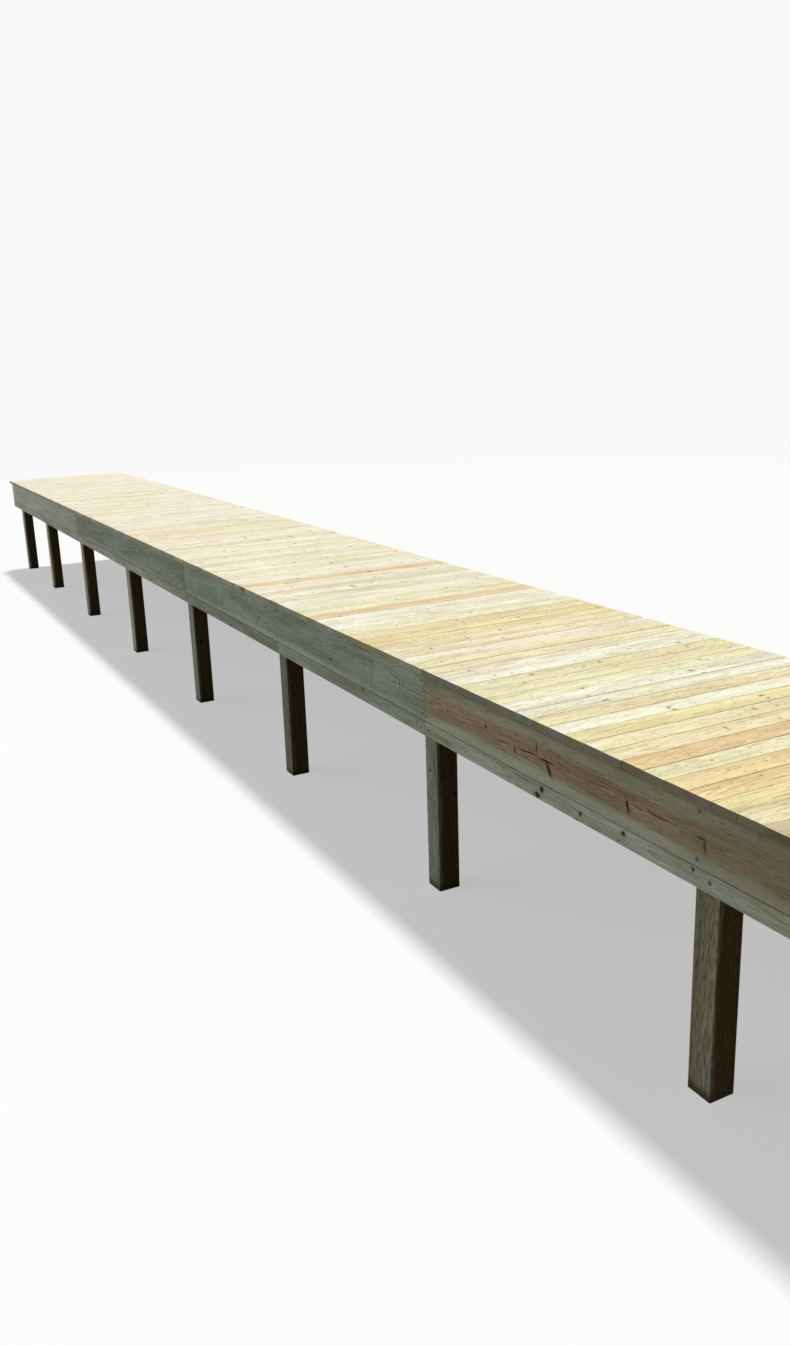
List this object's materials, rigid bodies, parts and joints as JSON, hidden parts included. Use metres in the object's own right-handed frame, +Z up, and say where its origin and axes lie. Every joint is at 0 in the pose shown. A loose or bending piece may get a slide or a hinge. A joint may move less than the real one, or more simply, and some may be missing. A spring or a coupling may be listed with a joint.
{
  "type": "wooden jetty",
  "caption": "Straight timber jetty on pairs of square posts, with cross-laid deck boards, wide side bands and narrow lower boards.",
  "frame": {"origin": "middle of the deck in plan, at the level of the water and of the post feet", "axes": "+X runs out along the jetty from the shore end to the open-water end, +Y is the left side seen from the shore, +Z is up"},
  "size_m": [17.114, 1.89, 1.43],
  "materials": {
    "deck_timber": "fresh pressure-treated pine, sawn, sun-lit, dry",
    "band_timber": "fresh pressure-treated pine, planed, green-grey with brown heartwood",
    "lower_timber": "fresh pressure-treated pine, planed, green-grey",
    "post_timber": "pressure-treated pine, sawn, wet at the foot",
    "frame_timber": "pressure-treated pine, sawn, in shade",
    "fastener_steel": "hot-dip galvanised screws, nails and bolts, dull grey"
  },
  "bodies": {
    "root": {"posts_1": "post_timber", "posts_2": "post_timber", "posts_3": "post_timber", "posts_4": "post_timber", "posts_5": "post_timber", "posts_6": "post_timber", "posts_7": "post_timber", "posts_8": "post_timber", "cross_beams_1": "frame_timber", "cross_beams_2": "frame_timber", "cross_beams_3": "frame_timber", "cross_beams_4": "frame_timber", "cross_beams_5": "frame_timber", "cross_beams_6": "frame_timber", "cross_beams_7": "frame_timber", "cross_beams_8": "frame_timber", "joists_1": "frame_timber", "joists_2": "frame_timber", "joists_3": "frame_timber", "joists_4": "frame_timber", "shore_header": "frame_timber", "left_band_1": "band_timber", "left_band_2": "band_timber", "left_band_3": "band_timber", "left_band_4": "band_timber", "right_band_1": "band_timber", "right_band_2": "band_timber", "right_band_3": "band_timber", "right_band_4": "band_timber", "end_band": "band_timber", "left_lower_boards": "lower_timber", "right_lower_boards": "lower_timber", "end_lower_board": "lower_timber", "deck_boards_1": "deck_timber", "deck_boards_2": "deck_timber", "deck_boards_3": "deck_timber", "deck_boards_4": "deck_timber", "deck_boards_5": "deck_timber", "deck_boards_6": "deck_timber", "deck_boards_7": "deck_timber"}
  },
  "joints": []
}
